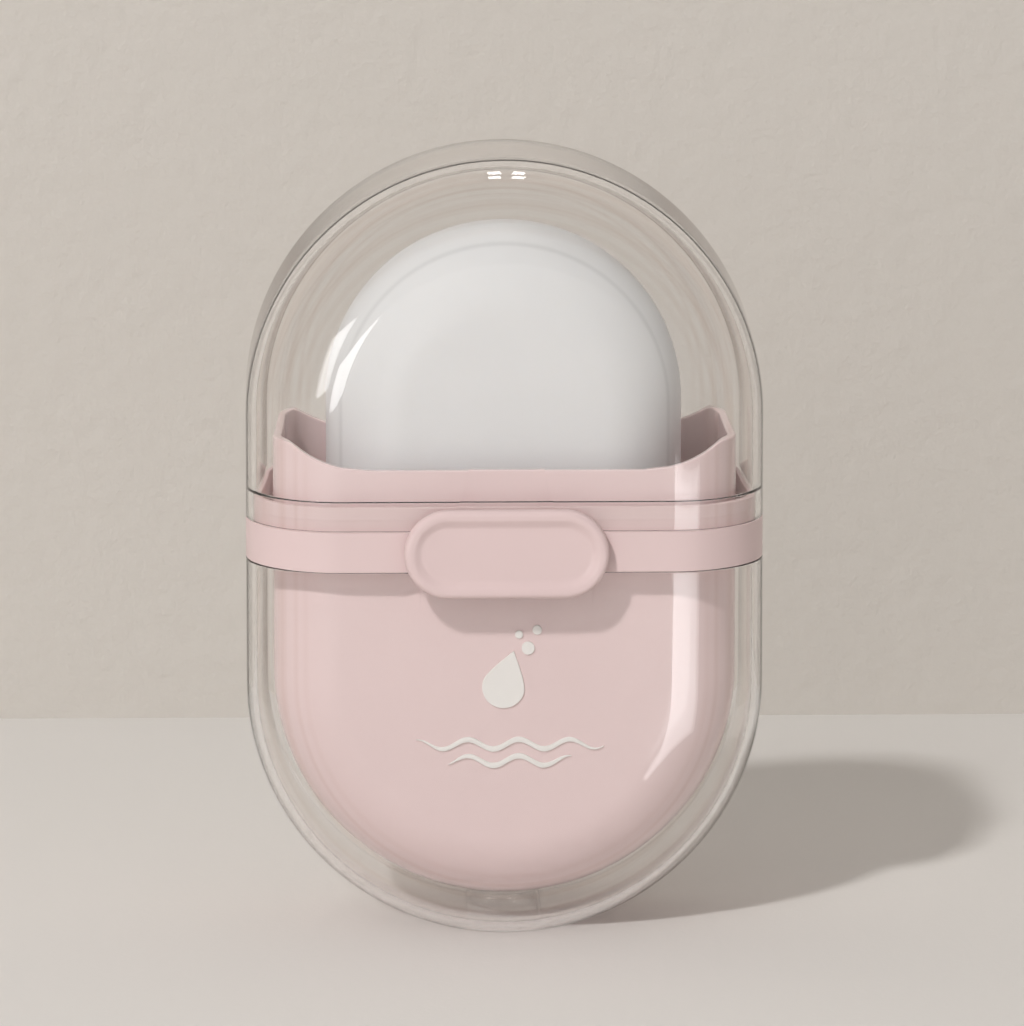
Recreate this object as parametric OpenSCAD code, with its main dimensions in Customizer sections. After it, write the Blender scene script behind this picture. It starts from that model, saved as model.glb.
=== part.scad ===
// Travel soap box: a clear pill-shaped case that stands on end.
// A pink collar joins the clear base to the clear lift-off lid and carries a press latch on each face.
// A pink cup hangs in the collar and holds the bar of soap over a drain tray.
// Axes: X across the wide face, Y from front (-) to back (+), Z up.
// The origin is under the middle of the foot.

/* [Body] */
// Overall width, which is also the diameter of the round top and bottom
body_w = 80; // [72:1:96]
// Height of the whole outline, before the foot is cut flat
body_h = 122; // [110:1:150]
// Depth from the front face to the back face
body_d = 46; // [42:1:60]
// Radius of the rounded edge between the faces and the rim
edge_r = 14.8; // [12:0.2:18]
// Wall of the clear base and the clear lid
shell_wall = 1.6; // [1.2:0.1:2]
// Width of the flat that the box stands on
foot_w = 12; // [8:1:20]

/* [Collar] */
// Height of the pink band
collar_h = 6.2; // [5.8:0.1:9]
// Height of the band's lower edge over the middle of the body
collar_offset = -1.2; // [-6:0.2:4]
// How far the base's tongue reaches up into the band
tongue_h = 3; // [2:0.1:3.4]
// Thickness of that tongue
tongue_wall = 1; // [0.8:0.1:1]
// Gap that shows as the dark line between the band and the clear base
shadow_gap = 0.15; // [0.1:0.05:0.3]
// Clearance of a part that is pushed into a groove
groove_fit = 0.1; // [0.05:0.05:0.15]

/* [Lid and seal] */
// Gap between the lid's rim and the band
lid_gap = 0.1; // [0.05:0.05:0.3]
// Height of the thinned rim that takes the seal
rebate_h = 4.5; // [3.6:0.1:6]
// Depth of that thinning
rebate_depth = 0.5; // [0.3:0.05:0.7]
// Thickness of the silicone seal's upright lip
seal_wall = 1; // [0.8:0.1:1.2]
// Height of the lip above the band
seal_h = 3.8; // [3:0.1:4.2]
// How deep the seal sits in the band
seal_seat = 1; // [0.8:0.1:1.2]
// Clearance between the lip and the lid
seal_fit = 0.15; // [0.1:0.05:0.25]
// Height of the bead halfway up the lip
seal_bead_h = 0.8; // [0.6:0.1:1.2]

/* [Soap cup] */
// Distance of the cup's outside from the outside of the case
cup_inset = 4.2; // [4.1:0.1:6]
// Wall of the cup
cup_wall = 1.4; // [1:0.1:2]
// How much higher the cup's round bottom sits than an even gap would put it
cup_lift = 2.3; // [1:0.1:6]
// Height of the front and back of the cup's mouth above the band
mouth_h = 9; // [6:0.5:14]
// How much higher the two sides of the mouth stand
mouth_side_rise = 4; // [2:0.5:6]
// Distance from the sides of the cup to where the front of its mouth turns level
mouth_shoulder = 14.8; // [12:0.2:22]
// Radius of the sweep from the middle of the mouth up to its sides
mouth_sweep_r = 20; // [12:1:30]
// Height of the flange that hangs the cup in the band
flange_h = 1.2; // [1:0.1:1.2]
// Width of that flange
flange_w = 1.2; // [0.8:0.1:1.2]
// Number of drain slots in the cup's floor
floor_slots = 5; // [3:2:7]
// Spacing of those slots
floor_slot_pitch = 7; // [6:0.5:8]
// Width of every drain slot
slot_w = 2.6; // [2:0.1:3.4]

/* [Soap and drain tray] */
// Gap from the side of the soap to the cup
soap_side_gap = 6.8; // [4.5:0.1:9]
// Gap from the face of the soap to the cup
soap_face_gap = 3.6; // [2.5:0.1:6]
// Radius of the worn edge of the soap
soap_edge_r = 12.5; // [8:0.5:13]
// Room between the top of the soap and the lid
soap_top_gap = 9.6; // [6:0.1:14]
// Height of the soap over the cup's floor
soap_rise = 14.5; // [11:0.5:20]
// Gap between the soap and the tray's cradle
soap_seat_gap = 0.15; // [0.1:0.05:0.3]
// Thickness of the cradle
cradle_wall = 1.8; // [1.4:0.1:2.4]
// How far the ends of the cradle stay inside the soap's sides
cradle_side = 5.6; // [4:0.2:12]
// Gap from the front and back of the cradle to the cup
cradle_face_gap = 3.9; // [3:0.1:6]
// Thickness of the ribs that carry the cradle
rib_wall = 1.6; // [1.2:0.1:2]
// How far the ribs stop short of the ends of the cradle
rib_setback = 1; // [0.5:0.1:3]
// How far the outer ribs stand inside the edge of the cup's level floor
rib_inset = 0.6; // [0.4:0.1:1.2]
// Gap between the ribs and the cup's floor
rib_seat_gap = 0.15; // [0.1:0.05:0.3]
// Web between the end of a cradle slot and the rib beside it
slot_web = 0.4; // [0.3:0.1:0.6]

/* [Latch] */
// Width of the oval button
button_w = 31.5; // [28:0.5:34]
// Height of the oval button
button_h = 13.8; // [13:0.1:15]
// How far the button stands out from the case
button_proud = 2.7; // [2.5:0.1:3.2]
// Rounding of the button's front edge
button_edge_r = 0.9; // [0.6:0.1:1]
// Width of the raised rim round the thumb dish
dish_rim = 1.5; // [1.2:0.1:2]
// Width over which the rim falls away into the dish
dish_run = 1.8; // [1:0.1:2]
// Depth of the thumb dish
dish_depth = 0.6; // [0.4:0.1:0.7]
// Gap behind the upper half of the button
upper_gap = 0.7; // [0.65:0.05:0.8]
// Gap behind the lower half, which is pressed
lower_gap = 1.15; // [1.05:0.05:1.2]
// Height of the pivot above the band's lower edge
pivot_rise = 2.6; // [2.4:0.1:2.8]
// Depth of the pivot behind the front face
pivot_depth = 1.6; // [1.5:0.1:1.7]
// Radius of the pin's seats in the band
pin_r = 0.75; // [0.6:0.05:0.8]
// How much smaller the steel pin is than its seats
pin_fit = 0.01; // [0.005:0.005:0.02]
// Radial running clearance of the button on the pin
pin_play = 0.06; // [0.03:0.01:0.1]
// Outside radius of the boss round the pin
boss_r = 1.6; // [1.5:0.05:1.7]
// Half length of the boss
boss_half = 10.6; // [8:0.2:11]
// How deep each end of the pin sits in the band
pin_seat = 2.4; // [2:0.1:3]
// Width of the slot through which the pin is pressed home
pin_slot_w = 1.2; // [1:0.05:1.3]
// Clearance round the boss in its pocket
pocket_fit = 0.3; // [0.25:0.05:0.4]
// Half width of the lid's catch
catch_half = 8; // [6:0.5:10]
// Height of the catch
catch_h = 1.2; // [1:0.1:1.4]
// Distance from the lid's rim up to the catch
catch_rise = 0.2; // [0.1:0.1:0.4]
// How far the catch stands out from the lid
catch_proud = 0.55; // [0.5:0.05:0.6]
// Distance from the catch up to the button's nose
nose_gap = 0.3; // [0.3:0.05:0.5]
// Clearance between the tip of the nose and the lid
nose_clearance = 0.12; // [0.1:0.02:0.2]
// Height of the nose at its root
nose_h = 1.2; // [1:0.1:1.6]
// Half width of each return tongue
spring_half = 2; // [1.5:0.1:3]
// Thickness of the return tongues
spring_wall = 0.7; // [0.5:0.05:0.9]
// Distance from the button's lower edge up to the roots of the return tongues
spring_rise = 1.9; // [1.5:0.1:2.4]
// Gap at the tip of each return tongue, which the press takes up
spring_gap = 0.42; // [0.4:0.02:0.5]

/* [Hidden] */
$fn = 96;

// Colours of the finished parts
clear_plastic = [0.89, 0.88, 0.87, 0.3];
pink_plastic = [0.91, 0.80, 0.79];
soap_white = [0.93, 0.92, 0.91];
silicone_pink = [0.92, 0.83, 0.82, 0.8];
pin_steel = [0.72, 0.72, 0.74];

// Overlap of a cut past the face that it opens
over = 1;
// How deep a rib of the button is rooted in its plate
root_depth = 0.2;

// Levels of the case
half_w = body_w / 2;
half_d = body_d / 2;
foot_rise = half_w - sqrt(pow(half_w, 2) - pow(foot_w / 2, 2));
base_arc_z = half_w - foot_rise;
lid_arc_z = body_h - foot_rise - half_w;
collar_z0 = (base_arc_z + lid_arc_z) / 2 + collar_offset;
collar_z1 = collar_z0 + collar_h;
tongue_top = collar_z0 + tongue_h;
rim_z = collar_z1 + lid_gap;

// Insets, measured inwards from the outside of the case
tongue_out = shell_wall - tongue_wall;
rebate_inset = shell_wall - rebate_depth;
seal_out = rebate_inset + seal_fit;
seal_in = seal_out + seal_wall;
flange_out = cup_inset - flange_w;
cup_inner = cup_inset + cup_wall;

// Levels of the cup, the tray and the soap
cup_arc_z = base_arc_z + cup_lift;
cup_floor_r = half_w - cup_inner;
cup_floor_z = cup_arc_z - cup_floor_r;
mouth_z = collar_z1 + mouth_h;
mouth_top_z = mouth_z + mouth_side_rise;
soap_r = cup_floor_r - soap_side_gap;
soap_half_d = half_d - cup_inner - soap_face_gap;
soap_round = min(soap_edge_r, soap_half_d - 0.5);
soap_z0 = cup_floor_z + soap_rise;
soap_z1 = lid_arc_z + half_w - shell_wall - soap_top_gap;
soap_arc_z = soap_z0 + soap_r;
mouth_level = half_w - cup_inset - mouth_shoulder;
cradle_r = soap_r + soap_seat_gap;
cradle_half_w = soap_r - cradle_side;
cradle_d = 2 * (half_d - cup_inner - cradle_face_gap);
rib_pitch = half_d - edge_r - rib_inset;
cradle_end_z = soap_arc_z - sqrt(pow(cradle_r, 2) - pow(cradle_half_w, 2)) + cradle_wall;

// Levels of the latch
pivot_y = half_d - pivot_depth;
pivot_z = collar_z0 + pivot_rise;
button_z = collar_z0 + collar_h / 2;
button_front = half_d + button_proud;
pocket_r = boss_r + pocket_fit;
pocket_back = pivot_y - pocket_r;
pocket_half = boss_half + pocket_fit;
pin_half = pocket_half + pin_seat;
catch_z0 = rim_z + catch_rise;
catch_z1 = catch_z0 + catch_h;
nose_z = catch_z1 + nose_gap;
nose_tip = half_d + nose_clearance;

// Half of a rounded rectangle, to the right of the axis
module half_profile(w, d, r) {
  translate([0, -d]) square([w - r, 2 * d]);
  translate([0, r - d]) square([w, 2 * (d - r)]);
  for (side = [-1, 1]) translate([w - r, side * (d - r)]) circle(r);
}

module half_case(inset) {
  half_profile(half_w - inset, half_d - inset, edge_r - inset);
}

// The case's horizontal section, drawn in by an inset
module case_section(inset) {
  half_case(inset);
  mirror([1, 0]) half_case(inset);
}

// A profile swept half round, below the axis or above it
module half_round_below() {
  rotate([-90, 0, 0]) rotate_extrude(angle = 180) children();
}

module half_round_above() {
  rotate([0, 180, 0]) half_round_below() children();
}

// The lower part of the case's form, from its round bottom up to a level
module lower_form(inset, arc_z, top_z) {
  translate([0, 0, arc_z]) half_round_below() half_case(inset);
  translate([0, 0, arc_z]) linear_extrude(top_z - arc_z) case_section(inset);
}

// The upper part of the case's form, from a level up to its round top
module upper_form(inset, bottom_z) {
  translate([0, 0, lid_arc_z]) half_round_above() half_case(inset);
  translate([0, 0, bottom_z]) linear_extrude(lid_arc_z - bottom_z) case_section(inset);
}

// A band that follows the case's outline between two insets and two levels
module band(outer_inset, inner_inset, z0, z1) {
  translate([0, 0, z0]) linear_extrude(z1 - z0) difference() {
    case_section(outer_inset);
    case_section(inner_inset);
  }
}

// A section drawn in Y and Z, made solid along X
module across(half_len) {
  translate([half_len, 0, 0]) rotate([90, 0, -90]) linear_extrude(2 * half_len) mirror([1, 0]) children();
}

// Puts what is drawn at the front on the back as well
module front_and_back() {
  children();
  rotate([0, 0, 180]) children();
}

module base_shell() {
  top_z = collar_z0 - shadow_gap;
  color(clear_plastic) difference() {
    union() {
      lower_form(0, base_arc_z, top_z);
      translate([0, 0, top_z]) linear_extrude(shadow_gap + tongue_h) case_section(tongue_out);
    }
    lower_form(shell_wall, base_arc_z, collar_z1);
    translate([-half_w, -half_d, -foot_rise - over]) cube([body_w, body_d, foot_rise + over]);
    front_and_back() tongue_notch(top_z);
  }
}

// Clears the tongue from the latch's pocket and pin seats
module tongue_notch(z) {
  half = pin_half + groove_fit;
  translate([-half, -half_d - over, z]) cube([2 * half, shell_wall + 2 * over, collar_h]);
}

module collar_ring() {
  color(pink_plastic) difference() {
    band(0, cup_inset - groove_fit, collar_z0, collar_z1);
    band(tongue_out - groove_fit, shell_wall + groove_fit, collar_z0 - over, tongue_top + groove_fit);
    band(seal_out - groove_fit / 2, seal_in + groove_fit / 2, collar_z1 - seal_seat, collar_z1 + over);
    band(flange_out - groove_fit, cup_inset + over, collar_z1 - flange_h - groove_fit, collar_z1 + over);
    front_and_back() latch_pocket();
  }
}

// Room for the button's boss, with a snap seat for the pin at each end
module latch_pocket() {
  translate([-pocket_half, -half_d - over, pivot_z - pocket_r])
    cube([2 * pocket_half, half_d + over - pocket_back, 2 * pocket_r]);
  translate([-pin_half, -pivot_y, pivot_z]) rotate([0, 90, 0]) cylinder(r = pin_r, h = 2 * pin_half);
  translate([-pin_half, -half_d - over, pivot_z - pin_slot_w / 2])
    cube([2 * pin_half, pivot_depth + over, pin_slot_w]);
}

module soap_cup() {
  color(pink_plastic) difference() {
    union() {
      lower_form(cup_inset, cup_arc_z, mouth_top_z);
      translate([0, 0, collar_z1 - flange_h]) linear_extrude(flange_h) case_section(flange_out);
    }
    lower_form(cup_inner, cup_arc_z, mouth_top_z + over);
    cup_mouth();
    for (i = [0:floor_slots - 1])
      translate([(i - (floor_slots - 1) / 2) * floor_slot_pitch, 0, 0])
        drain_slot(slot_w, 2 * rib_pitch, cup_floor_z + soap_rise / 2);
  }
}

// The scoop in the front and back of the cup's mouth
module cup_mouth() {
  rotate([90, 0, 0]) translate([0, 0, -half_d]) linear_extrude(body_d) {
    translate([-mouth_level, mouth_z]) square([2 * mouth_level, 2 * mouth_sweep_r]);
    for (side = [-1, 1]) translate([side * mouth_level, mouth_z + mouth_sweep_r]) circle(mouth_sweep_r);
  }
}

// An upright cut with round ends, its length along Y
module drain_slot(width, length, height) {
  straight = length - width;
  linear_extrude(height) {
    if (straight > 0) square([width, straight], center = true);
    for (end = [-1, 1]) translate([0, end * straight / 2]) circle(d = width);
  }
}

module drain_tray() {
  slot_l = rib_pitch - rib_wall - 2 * slot_web;
  pitch = 2 * slot_w;
  slots = 2 * floor((cradle_half_w - slot_w) / pitch) + 1;
  color(pink_plastic) difference() {
    union() {
      along_y(cradle_d) cradle_outline();
      for (i = [-1:1]) translate([0, i * rib_pitch, 0]) along_y(rib_wall) rib_outline();
    }
    for (i = [0:slots - 1], side = [-1, 1])
      translate([(i - (slots - 1) / 2) * pitch, side * rib_pitch / 2, cup_floor_z])
        drain_slot(min(slot_w, slot_l), slot_l, 2 * soap_rise);
  }
}

// An outline in X and Z, made solid about the middle of the case's depth
module along_y(depth) {
  rotate([90, 0, 0]) linear_extrude(depth, center = true) children();
}

module cradle_outline() {
  intersection() {
    difference() {
      translate([0, soap_arc_z]) circle(cradle_r + cradle_wall);
      translate([0, soap_arc_z]) circle(cradle_r);
    }
    translate([-cradle_half_w, 0]) square([2 * cradle_half_w, cradle_end_z]);
  }
}

// The rib stands on the cup's round floor and holds the cradle up
module rib_outline() {
  intersection() {
    difference() {
      translate([0, cup_arc_z]) circle(cup_floor_r - rib_seat_gap);
      translate([0, soap_arc_z]) circle(cradle_r + cradle_wall / 2);
    }
    translate([rib_setback - cradle_half_w, 0])
      square([2 * (cradle_half_w - rib_setback), cradle_end_z - cradle_wall]);
  }
}

module seal_ring() {
  bead_z = collar_z1 + (seal_h - seal_bead_h) / 2;
  color(silicone_pink) union() {
    band(seal_out, seal_in, collar_z1 - seal_seat, collar_z1 + seal_h);
    band(seal_out - seal_fit / 2, seal_in, bead_z, bead_z + seal_bead_h);
  }
}

module lid_shell() {
  color(clear_plastic) union() {
    difference() {
      upper_form(0, rim_z);
      upper_form(shell_wall, rim_z - over);
      translate([0, 0, rim_z - over]) linear_extrude(rebate_h + over) case_section(rebate_inset);
    }
    front_and_back() lid_catch();
  }
}

// The wedge that the button's nose hooks over
module lid_catch() {
  face = -half_d;
  across(catch_half) polygon([
    [face + shell_wall / 2, catch_z0],
    [face, catch_z0],
    [face - catch_proud, catch_z0 + catch_h / 2],
    [face - catch_proud, catch_z1],
    [face + shell_wall / 2, catch_z1]
  ]);
}

// The front button. It rocks on its pin: pressing the lower half swings the nose off the lid's catch.
module latch_button() {
  color(pink_plastic) difference() {
    union() {
      button_plate();
      button_boss();
      button_nose();
      for (side = [-1, 1]) translate([side * (boss_half - spring_half), 0, 0]) return_tongue();
    }
    translate([-pin_half, -pivot_y, pivot_z]) rotate([0, 90, 0])
      cylinder(r = pin_r + pin_play, h = 2 * pin_half);
  }
}

// The oval plate with its rounded edge and thumb dish
module button_plate() {
  r = button_h / 2;
  half_span = (button_w - button_h) / 2;
  translate([0, -button_front, button_z]) difference() {
    rotate([0, 90, 0]) {
      translate([0, 0, half_span]) half_round_above() button_profile(r);
      translate([0, 0, -half_span]) half_round_below() button_profile(r);
      translate([0, 0, -half_span]) linear_extrude(2 * half_span) {
        button_profile(r);
        mirror([1, 0]) button_profile(r);
      }
    }
    translate([-button_w, button_proud - lower_gap, -button_h])
      cube([2 * button_w, over, button_h + pivot_z - button_z]);
  }
}

// Half of the plate's section: X runs out from its middle, Y runs back from its front.
// The dish falls from the rim along an arc that ends level in its floor.
module button_profile(r) {
  back = button_proud - upper_gap;
  e = button_edge_r;
  floor_r = r - dish_rim - dish_run;
  dish_arc = (pow(dish_run, 2) + pow(dish_depth, 2)) / (2 * dish_depth);
  difference() {
    union() {
      square([r - e, back]);
      translate([0, e]) square([r, back - e]);
      translate([r - e, e]) circle(e);
    }
    translate([0, -over]) square([floor_r, dish_depth + over]);
    translate([floor_r, dish_depth - dish_arc]) circle(dish_arc);
  }
}

// The boss that the pin runs through, with its neck to the plate
module button_boss() {
  root = -half_d - lower_gap - root_depth;
  across(boss_half) {
    translate([-pivot_y, pivot_z]) circle(boss_r);
    translate([root, pivot_z - pin_r]) square([-pivot_y - root, 2 * pin_r]);
  }
}

// The ledge that reaches in over the lid's catch
module button_nose() {
  root = -half_d - upper_gap - root_depth;
  across(catch_half) polygon([
    [root, nose_z],
    [-nose_tip, nose_z],
    [-nose_tip, nose_z + nose_h / 3],
    [root, nose_z + nose_h]
  ]);
}

// A thin moulded tongue that leans on the band and pushes the lower half back out
module return_tongue() {
  root = -half_d - lower_gap - root_depth;
  tip = -half_d - spring_gap;
  low = button_z - button_h / 2 + spring_rise;
  across(spring_half) polygon([
    [root, low],
    [root, low + spring_wall],
    [tip - spring_wall / 2, collar_z0 + spring_wall],
    [tip, collar_z0 + spring_wall],
    [tip, collar_z0]
  ]);
}

module latch_pin() {
  color(pin_steel) translate([-pin_half, -pivot_y, pivot_z]) rotate([0, 90, 0])
    cylinder(r = pin_r - pin_fit, h = 2 * pin_half);
}

module soap_bar() {
  straight = soap_z1 - soap_r - soap_arc_z;
  color(soap_white) {
    translate([0, 0, soap_arc_z]) half_round_below() soap_profile();
    translate([0, 0, soap_arc_z]) linear_extrude(straight) {
      soap_profile();
      mirror([1, 0]) soap_profile();
    }
    translate([0, 0, soap_arc_z + straight]) half_round_above() soap_profile();
  }
}

module soap_profile() {
  half_profile(soap_r, soap_half_d, soap_round);
}

base_shell();
collar_ring();
soap_cup();
drain_tray();
seal_ring();
lid_shell();
latch_button();  // front_latch_button
latch_pin();  // front_latch_pin
rotate([0, 0, 180]) latch_button();  // rear_latch_button
rotate([0, 0, 180]) latch_pin();  // rear_latch_pin
soap_bar();
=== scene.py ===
import math

import bmesh
import bpy
from bpy.props import FloatProperty, FloatVectorProperty, IntProperty, PointerProperty
from mathutils import Matrix, Vector


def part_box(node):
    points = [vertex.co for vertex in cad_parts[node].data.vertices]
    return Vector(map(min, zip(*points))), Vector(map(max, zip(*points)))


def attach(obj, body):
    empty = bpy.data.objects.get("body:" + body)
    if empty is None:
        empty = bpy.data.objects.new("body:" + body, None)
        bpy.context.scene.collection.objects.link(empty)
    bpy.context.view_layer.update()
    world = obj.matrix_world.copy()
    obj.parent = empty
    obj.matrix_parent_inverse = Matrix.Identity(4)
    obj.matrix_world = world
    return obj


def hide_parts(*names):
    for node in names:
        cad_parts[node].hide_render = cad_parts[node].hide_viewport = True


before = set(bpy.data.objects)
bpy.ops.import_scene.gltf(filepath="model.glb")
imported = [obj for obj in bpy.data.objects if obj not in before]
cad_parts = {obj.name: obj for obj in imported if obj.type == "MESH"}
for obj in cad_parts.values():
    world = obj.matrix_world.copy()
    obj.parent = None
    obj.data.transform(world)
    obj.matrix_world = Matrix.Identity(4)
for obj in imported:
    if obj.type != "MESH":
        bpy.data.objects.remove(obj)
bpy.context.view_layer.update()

bl_info = {
    "name": "Travel soap box",
    "version": (1, 0, 0),
    "blender": (4, 5, 0),
    "location": "3D View > Sidebar > Soap Box",
    "description": "Builds a clear travel soap box round its packed frame",
    "category": "Object",
}

MM = 0.001
EPS = 1e-6

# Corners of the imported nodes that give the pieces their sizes
BASE_LOW, BASE_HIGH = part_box("base_shell")
COLLAR_LOW, COLLAR_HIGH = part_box("collar_ring")
CUP_LOW, CUP_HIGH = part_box("soap_cup")
SEAL_LOW, SEAL_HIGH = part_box("seal_ring")
LID_LOW, LID_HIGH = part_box("lid_shell")
BUTTON_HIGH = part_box("front_latch_button")[1]
PIN_LOW, PIN_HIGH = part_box("front_latch_pin")
SOAP_LOW, SOAP_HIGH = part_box("soap_bar")
PIN_Y = (PIN_LOW.y + PIN_HIGH.y) / 2
PIN_Z = (PIN_LOW.z + PIN_HIGH.z) / 2
PIN_RADIUS = (PIN_HIGH.z - PIN_LOW.z) / 2
COLLAR_MIDDLE = (COLLAR_LOW.z + COLLAR_HIGH.z) / 2

# How far the parts behind a button sink into its plate
ROOT = 0.2 * MM
# How far a cutting shape stands past what it cuts
PAST = 1 * MM


def colour(red, green, blue):
    """A colour on the screen's 0 to 255 scale, as the linear values that shaders take."""
    shares = [value / 255 for value in (red, green, blue)]
    return (*(s / 12.92 if s <= 0.04045 else ((s + 0.055) / 1.055) ** 2.4 for s in shares), 1.0)


def length(name, description, default):
    """A size in metres that the panel shows."""
    return FloatProperty(name=name, description=description, default=default, unit="LENGTH")


def angle(name, description, degrees):
    """An angle that the panel shows, given in degrees."""
    return FloatProperty(name=name, description=description, default=math.radians(degrees), unit="ROTATION")


def count(name, description, default, least):
    """A whole number that the panel shows."""
    return IntProperty(name=name, description=description, default=default, min=least)


def swatch(name, description, red, green, blue):
    """A colour that the panel shows, given on the screen's 0 to 255 scale."""
    return FloatVectorProperty(
        name=name, description=description, default=colour(red, green, blue), size=4, subtype="COLOR"
    )


class CaseSizes(bpy.types.PropertyGroup):
    """Sizes of the clear case that its pieces share"""

    half_width: length("Half width", "From the middle to the side of the case", BASE_HIGH.x)
    half_depth: length("Half depth", "From the middle to the face of the case", BASE_HIGH.y)
    edge_radius: length("Edge radius", "Rounding between the faces and the rim", 14.8 * MM)
    wall: length("Wall", "Thickness of the clear shells", 1.6 * MM)
    foot_width: length("Foot width", "Width of the flat under the base", 12 * MM)
    tongue_wall: length("Tongue wall", "Thickness of the base's tongue in the collar", 1 * MM)
    shadow_gap: length("Shadow gap", "Dark line between the collar and the base", 0.15 * MM)
    rebate_height: length("Rebate height", "Height of the lid's thinned rim", 4.5 * MM)
    rebate_inset: length("Rebate inset", "Thickness that is left of the lid's rim", 1.1 * MM)
    seal_wall: length("Seal wall", "Thickness of the seal", 1 * MM)
    seal_bead: length("Seal bead", "How far the seal's bead stands out", 0.075 * MM)
    fit: length("Fit", "Clearance of a pushed-in joint", 0.1 * MM)
    edge_break: length("Edge break", "Rounding of the moulded edges", 0.16 * MM)
    rim_break: length("Rim break", "Rounding where the lid's rim meets the collar", 0.05 * MM)
    step_round: length("Step round", "Rounding of the step inside the lid", 0.24 * MM)
    corner_steps: count("Corner steps", "Points on each rounded corner", 18, 6)
    round_steps: count("Round steps", "Steps round each end of the case", 72, 24)


class CupSizes(bpy.types.PropertyGroup):
    """Sizes of the pink cup that hangs in the collar"""

    inset: length("Inset", "From the outside of the case to the cup", 4.2 * MM)
    wall: length("Wall", "Thickness of the cup", 1.4 * MM)
    flange_height: length("Flange height", "Height of the flange in the collar", 1.2 * MM)
    mouth_height: length("Mouth height", "From the collar to the level front of the mouth", 9 * MM)
    level_half: length("Level half", "Half width of the level front of the mouth", 21 * MM)
    sweep_radius: length("Sweep radius", "Radius from the level front up to the sides", 20 * MM)
    slot_width: length("Slot width", "Width of a drain slot", 2.6 * MM)
    slot_length: length("Slot length", "Length of a drain slot", 15.2 * MM)
    slot_pitch: length("Slot pitch", "Spacing of the slots", 7 * MM)
    slot_count: count("Slots", "Number of drain slots", 5, 1)
    lip_round: length("Lip round", "Rounding of the mouth's edges", 0.35 * MM)


class LatchSizes(bpy.types.PropertyGroup):
    """Sizes of the press latches"""

    proud: length("Proud", "How far a button stands out from the face", 2.7 * MM)
    height: length("Height", "Height of the oval plate", 13.8 * MM)
    edge_radius: length("Edge radius", "Rounding of the plate's front edge", 0.9 * MM)
    rim: length("Rim", "Width of the raised rim", 1.5 * MM)
    dish_run: length("Dish run", "Width over which the rim falls into the dish", 1.7 * MM)
    dish_depth: length("Dish depth", "Depth of the thumb dish", 0.6 * MM)
    upper_gap: length("Upper gap", "Gap behind the upper half", 0.7 * MM)
    lower_gap: length("Lower gap", "Gap behind the lower half", 1.15 * MM)
    boss_radius: length("Boss radius", "Outside of the boss on the pin", 1.6 * MM)
    boss_half: length("Boss half", "Half length of the boss", 10.6 * MM)
    bore_radius: length("Bore radius", "Bore of the boss", 0.81 * MM)
    pocket_fit: length("Pocket fit", "Clearance round the boss", 0.3 * MM)
    seat_width: length("Seat width", "Width of the slot to a pin's seat", 1.2 * MM)
    seat_fit: length("Seat fit", "Clearance of a pin in its seat", 0.01 * MM)
    catch_half: length("Catch half", "Half width of the lid's catch", 8 * MM)
    catch_rise: length("Catch rise", "From the lid's rim up to the catch", 0.2 * MM)
    catch_height: length("Catch height", "Height of the catch", 1.2 * MM)
    catch_proud: length("Catch proud", "How far the catch stands out", 0.55 * MM)
    nose_gap: length("Nose gap", "From the catch up to the button's nose", 0.3 * MM)
    nose_height: length("Nose height", "Height of the nose at its root", 1.2 * MM)
    nose_clearance: length("Nose clearance", "From the nose's tip to the lid", 0.12 * MM)
    tongue_half: length("Tongue half", "Half width of a return tongue", 2 * MM)
    tongue_wall: length("Tongue wall", "Thickness of a return tongue", 0.7 * MM)
    tongue_rise: length("Tongue rise", "From the plate's lower edge up to the tongues", 1.9 * MM)
    tongue_gap: length("Tongue gap", "Gap at the tip of a return tongue", 0.42 * MM)


class SoapSizes(bpy.types.PropertyGroup):
    """Sizes of the bar of soap"""

    edge_radius: length("Edge radius", "Worn edge of the bar", 12.5 * MM)
    crown: length("Crown", "How much the faces of the bar fall away to its edge", 0.5 * MM)


class Finishes(bpy.types.PropertyGroup):
    """Colours of the finished pieces"""

    clear: swatch("Clear", "Tint of the clear plastic", 254, 254, 254)
    # Painted shade: the dark brown that the clear plastic takes at its outlines, where it is seen edge on
    painted_edge_shade: swatch("Clear edge", "Tone of the clear plastic where it is seen edge on", 46, 28, 22)
    # Painted refraction: the tone of streaks round the clear plastic's rim
    clear_refraction_streak: swatch("Clear flow lines", "Tone of the flow lines in the clear plastic", 249, 245, 243)
    pink: swatch("Pink", "Pink of the moulded parts", 236, 212, 212)
    # Painted shade: the pink that the inside of the cup darkens to towards its floor
    painted_shade_pink: swatch("Deep pink", "Pink of the shaded inside of the cup", 196, 150, 147)
    soap: swatch("Soap", "White of the soap", 233, 233, 234)
    silicone: swatch("Silicone", "Tone of the seal", 238, 214, 213)
    steel: swatch("Steel", "Tone of the hinge pins", 200, 199, 198)
    ink: swatch("Ink", "White of the raised motif", 246, 243, 240)


class StageSettings(bpy.types.PropertyGroup):
    """The camera, the table and the wall"""

    turn: angle("Turn", "How far left of the front the camera stands", 1.3)
    lift: angle("Lift", "Height of the camera over the horizon", 10.9)
    distance: length("Distance", "From the camera to the box", 1.77)
    lens: FloatProperty(name="Lens", description="Focal length in millimetres", default=400)
    aim_right: length("Aim right", "How far right of the box the camera aims", 1.36 * MM)
    aim_up: length("Aim up", "How far above the middle of the box it aims", 3.35 * MM)
    wall_distance: length("Wall distance", "From the box back to the wall", 0.151)
    floor: swatch("Floor", "Tone of the table", 230, 227, 224)
    backdrop: swatch("Backdrop", "Tone of the wall", 215, 210, 204)


def points_in(geometry):
    """The points among the parts of a mesh that an operator returns."""
    return [g for g in geometry if isinstance(g, bmesh.types.BMVert)]


def face_outwards(bm):
    """Turns every face of a closed mesh outwards."""
    bmesh.ops.recalc_face_normals(bm, faces=bm.faces)


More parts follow.
